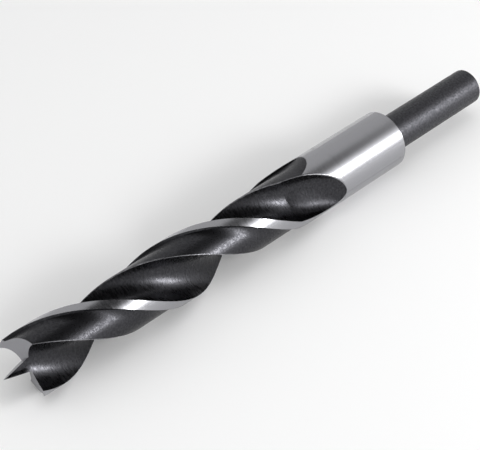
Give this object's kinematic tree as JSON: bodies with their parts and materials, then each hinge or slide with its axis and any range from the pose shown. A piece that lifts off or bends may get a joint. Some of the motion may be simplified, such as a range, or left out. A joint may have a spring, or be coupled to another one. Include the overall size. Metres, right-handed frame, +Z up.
{
  "type": "brad point drill bit",
  "caption": "Wood drill bit with a centring brad, outer spurs, deep right-hand flutes that run out at a plain collar, and a reduced shank for a chuck.",
  "frame": {"origin": "centre of the flat end face of the shank", "axes": "+X along the bit from the shank to the brad's point, +Z up with the bit lying on its side, +Y by the right-hand rule"},
  "size_m": [0.1625, 0.016, 0.016],
  "materials": {
    "drill_bit": "black oxide on flutes and shank, ground bright on margins, collar and point"
  },
  "bodies": {
    "root": {"drill_bit": "drill_bit"}
  },
  "joints": []
}
